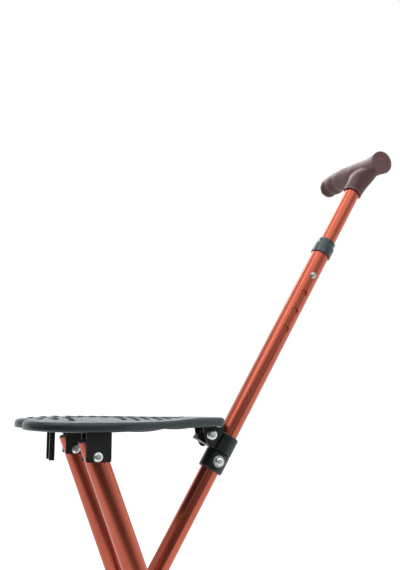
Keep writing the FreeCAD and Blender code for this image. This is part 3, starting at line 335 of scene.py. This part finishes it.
def side_points():
    """Points along the lobes and long sides of the seat's outline, without its notch and front."""
    side_y = LOBE_SIDE + LOBE_RADIUS - SIDE_RADIUS
    across = math.hypot(LOBE_BACK - CORNER_BACK, CORNER_SIDE - side_y)
    taper = math.atan2(CORNER_SIDE - side_y, LOBE_BACK - CORNER_BACK)
    taper += math.acos((SIDE_RADIUS - CORNER_RADIUS) / across)
    points = []
    for step in range(OUTLINE_STEPS + 1):
        angle = math.pi * (0.5 + LOBE_SWEEP * step / OUTLINE_STEPS)
        points.append((-LOBE_BACK + LOBE_RADIUS * math.cos(angle), LOBE_SIDE + LOBE_RADIUS * math.sin(angle)))
        angle = taper + (math.pi / 2 - taper) * step / OUTLINE_STEPS
        points.append((-LOBE_BACK + SIDE_RADIUS * math.cos(angle), side_y + SIDE_RADIUS * math.sin(angle)))
    start = Vector((-LOBE_BACK + SIDE_RADIUS * math.cos(taper), side_y + SIDE_RADIUS * math.sin(taper)))
    end = Vector((-CORNER_BACK + CORNER_RADIUS * math.cos(taper),
                  CORNER_SIDE + CORNER_RADIUS * math.sin(taper)))
    for step in range(OUTLINE_STEPS + 1):
        points.append(tuple(start.lerp(end, step / OUTLINE_STEPS)))
    return [(x, side * y) for x, y in points for side in (1, -1)]


def top_faces(mesh):
    return [face for face in mesh.faces
            if face.normal.z > FACES_UP and face.calc_center_median().z > TOP_LEVEL]


def edges_of(faces):
    """Each edge of some faces once, in the order of the faces, so that every run gives the same mesh."""
    return list(dict.fromkeys(edge for face in faces for edge in face.edges))


def refine_top(mesh):
    """Splits the long edges of the seat's top, so that it can bend smoothly."""
    bmesh.ops.remove_doubles(mesh, verts=mesh.verts, dist=WELD_DISTANCE)
    bmesh.ops.dissolve_degenerate(mesh, dist=WELD_DISTANCE, edges=mesh.edges)
    mesh.normal_update()
    for _ in range(SPLIT_ROUNDS):
        edges = [edge for edge in edges_of(top_faces(mesh)) if edge.calc_length() > TOP_EDGE_LENGTH]
        if not edges:
            return
        bmesh.ops.subdivide_edges(mesh, edges=edges, cuts=1)
        bmesh.ops.triangulate(mesh, faces=mesh.faces)
        mesh.normal_update()
        top = top_faces(mesh)
        inner = [edge for edge in edges_of(top)
                 if all(face.normal.z > FACES_UP for face in edge.link_faces)]
        bmesh.ops.beautify_fill(mesh, faces=top, edges=inner)
        mesh.normal_update()


def add_lip(mesh, centre, spokes, hits):
    """Adds one closed, raised lip on the plate's surface, which each spoke meets at its hit."""
    rings = []
    for spoke, hit in zip(spokes, hits):
        ring = []
        for part in range(LIP_SIDES):
            angle = math.radians(LIP_FIRST_ANGLE + LIP_ANGLE_STEP * part)
            reach = HOLE_RADIUS + LIP_RADIUS * math.cos(angle)
            place = centre + spoke * reach
            place.z = hit.z + LIP_RISE + LIP_RADIUS * math.sin(angle)
            ring.append(mesh.verts.new(place))
        rings.append(ring)
    for first, second in zip(rings, rings[1:] + rings[:1]):
        for part in range(LIP_SIDES):
            following = (part + 1) % LIP_SIDES
            mesh.faces.new((first[part], second[part], second[following], first[following]))


def add_lips(mesh):
    """Adds a raised round lip to each drain hole that has whole plate all round it."""
    surface = BVHTree.FromBMesh(mesh)
    down = Vector((0, 0, -1))
    turns = [math.tau * step / LIP_SPOKES for step in range(LIP_SPOKES)]
    spokes = [Vector((math.cos(turn), math.sin(turn), 0)) for turn in turns]
    for column in HOLE_COLUMNS:
        for row in HOLE_ROWS:
            grid_place = Vector((column * HOLE_PITCH + HOLE_SHIFT, row * HOLE_PITCH, PROBE_HEIGHT))
            centre = FRONT_HINGE + grid_place
            if surface.ray_cast(centre, down)[0] is not None:
                continue
            hits = [surface.ray_cast(centre + spoke * WHOLE_PLATE_REACH * HOLE_RADIUS, down)[0]
                    for spoke in spokes]
            if all(hit is not None and hit.z >= TOP_LEVEL for hit in hits):
                add_lip(mesh, centre, spokes, hits)


def make_seat(material):
    """The moulded seat: a top domed towards its outline, a deeper front rim and shallower skirt lobes."""
    source = nodes["seat_shell"]
    mesh = bmesh.new()
    mesh.from_mesh(source.data)
    refine_top(mesh)
    outline = side_points()
    tree = KDTree(len(outline))
    for index, (x, y) in enumerate(outline):
        tree.insert((x, y, 0), index)
    tree.balance()
    for vertex in mesh.verts:
        place = vertex.co - FRONT_HINGE
        inset = tree.find((place.x, place.y, 0))[2]
        old_fall = OLD_SHOULDER * max(0.0, abs(place.y) - FLAT_HALF_WIDTH) ** 2
        new_fall = DOME_FALL * max(0.0, 1 - inset / DOME_WIDTH) ** DOME_POWER + SHOULDER_KEPT * old_fall
        rear_part = 1 - smooth(place.x, *DOME_FADES_OUT)
        fall = (new_fall - old_fall) * rear_part + along(place.x, SEAT_LOWERING)
        height = smooth(place.z, *DOME_FADES_IN)
        under_rim = 1 - smooth(place.z, *RIM_DROP_FADES_OUT)
        lift = -FRONT_RIM_DROP * smooth(place.x, *RIM_DROP_FADES_IN) * under_rim
        sunk = along(place.x, RIM_UNDERSIDE) - place.z
        if 0 < sunk < SKIRT_DEPTH and SKIRT_BACK < place.x < SKIRT_FRONT:
            lift += sunk * (1 - SKIRT_KEPT)
        vertex.co.z += lift - fall * height
    add_lips(mesh)
    data = bpy.data.meshes.new("seat")
    mesh.to_mesh(data)
    mesh.free()
    data.polygons.foreach_set("use_smooth", [True] * len(data.polygons))
    data.set_sharp_from_angle(angle=SHARP_ANGLE)
    data.materials.append(material)
    seat = bpy.data.objects.new("seat", data)
    bpy.context.scene.collection.objects.link(seat)
    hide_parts("seat_shell")
    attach(seat, "seat")


# The studio

def seen_directly(tree, *kinds):
    """1 for the kinds of ray that should see the white background itself."""
    path = tree.nodes.new("ShaderNodeLightPath")
    total = path.outputs[kinds[0]]
    for kind in kinds[1:]:
        either = tree.nodes.new("ShaderNodeMath")
        either.operation = "MAXIMUM"
        tree.links.new(total, either.inputs[0])
        tree.links.new(path.outputs[kind], either.inputs[1])
        total = either.outputs[0]
    return total


def dimmed(tree, place, *steps):
    """1 behind the object, less on the dark side: each step gives where it starts, ends, and its level."""
    toward = tree.nodes.new("ShaderNodeVectorMath")
    toward.operation = "DOT_PRODUCT"
    toward.inputs[1].default_value = DARK_SIDE
    tree.links.new(place, toward.inputs[0])
    level = None
    for start, end, low in steps:
        step = tree.nodes.new("ShaderNodeMapRange")
        step.interpolation_type = "SMOOTHSTEP"
        step.inputs["From Min"].default_value = start
        step.inputs["From Max"].default_value = end
        step.inputs["To Min"].default_value = 1.0
        step.inputs["To Max"].default_value = low
        tree.links.new(toward.outputs["Value"], step.inputs["Value"])
        if level is None:
            level = step.outputs["Result"]
        else:
            both = tree.nodes.new("ShaderNodeMath")
            both.operation = "MULTIPLY"
            tree.links.new(level, both.inputs[0])
            tree.links.new(step.outputs["Result"], both.inputs[1])
            level = both.outputs[0]
    return level


def mixed(tree, amount, first, second):
    """A number between two others."""
    node = tree.nodes.new("ShaderNodeMix")
    tree.links.new(amount, node.inputs["Factor"])
    for name, value in (("A", first), ("B", second)):
        if isinstance(value, bpy.types.NodeSocket):
            tree.links.new(value, node.inputs[name])
        else:
            node.inputs[name].default_value = value
    return node.outputs["Result"]


def floor_material():
    """Pale and matte, white to the camera apart from shadows, and dimmed on one side in reflections."""
    material = bpy.data.materials.new("floor")
    material.use_nodes = True
    tree = material.node_tree
    tree.nodes.clear()
    path = tree.nodes.new("ShaderNodeLightPath").outputs
    matte = tree.nodes.new("ShaderNodeBsdfDiffuse")
    tree.links.new(mixed(tree, path["Is Diffuse Ray"], FLOOR_SHADE, FLOOR_BOUNCE), matte.inputs["Color"])
    glow = tree.nodes.new("ShaderNodeEmission")
    lift = mixed(tree, seen_directly(tree, "Is Camera Ray", "Is Transmission Ray"), 0.0, FLOOR_LIFT)
    tree.links.new(lift, glow.inputs["Strength"])
    both = tree.nodes.new("ShaderNodeAddShader")
    tree.links.new(matte.outputs[0], both.inputs[0])
    tree.links.new(glow.outputs[0], both.inputs[1])
    place = tree.nodes.new("ShaderNodeTexCoord").outputs["Object"]
    mirrored = tree.nodes.new("ShaderNodeEmission")
    tree.links.new(dimmed(tree, place, FLOOR_DIM), mirrored.inputs["Strength"])
    kinds = tree.nodes.new("ShaderNodeMixShader")
    tree.links.new(path["Is Glossy Ray"], kinds.inputs["Fac"])
    tree.links.new(both.outputs[0], kinds.inputs[1])
    tree.links.new(mirrored.outputs[0], kinds.inputs[2])
    output = tree.nodes.new("ShaderNodeOutputMaterial")
    tree.links.new(kinds.outputs[0], output.inputs["Surface"])
    return material


def make_floor():
    mesh = bpy.data.meshes.new("floor")
    half = FLOOR_SIZE / 2
    corners = [(-half, -half), (half, -half), (half, half), (-half, half)]
    mesh.from_pydata([(x, y, FLOOR_HEIGHT) for x, y in corners], [], [(0, 1, 2, 3)])
    mesh.materials.append(floor_material())
    floor = bpy.data.objects.new("floor", mesh)
    bpy.context.scene.collection.objects.link(floor)


def make_lamp(name, place, target, size, power):
    data = bpy.data.lights.new(name, "AREA")
    data.shape = "RECTANGLE"
    data.size, data.size_y = size
    data.energy = power
    lamp = bpy.data.objects.new(name, data)
    lamp.location = place
    lamp.rotation_mode = "QUATERNION"
    lamp.rotation_quaternion = (Vector(target) - Vector(place)).to_track_quat("-Z", "Y")
    bpy.context.scene.collection.objects.link(lamp)


def make_world():
    """White to the camera, soft light on the object, and a darker room in reflections of the near side."""
    world = bpy.data.worlds.new("studio")
    world.use_nodes = True
    tree = world.node_tree
    shade = tree.nodes["Background"]
    shade.inputs["Color"].default_value = rgb(1, 1, 1)
    direction = tree.nodes.new("ShaderNodeTexCoord").outputs["Generated"]
    room = dimmed(tree, direction, ROOM_DIM, ROOM_DARK)
    path = tree.nodes.new("ShaderNodeLightPath").outputs
    softened = tree.nodes.new("ShaderNodeMath")
    softened.operation = "MULTIPLY"
    softened.inputs[1].default_value = SOFT_LIGHT
    tree.links.new(room, softened.inputs[0])
    lit = mixed(tree, path["Is Glossy Ray"], softened.outputs[0], room)
    level = mixed(tree, seen_directly(tree, "Is Camera Ray", "Is Transmission Ray"), lit, 1.0)
    tree.links.new(level, shade.inputs["Strength"])
    bpy.context.scene.world = world


make_camera()
materials = make_materials()
dress_nodes(materials)
make_seat(materials["seat_plastic"])
make_floor()
for lamp_name, lamp_settings in LAMPS.items():
    make_lamp(lamp_name, *lamp_settings)
make_world()
bpy.context.scene.view_settings.view_transform = "Standard"
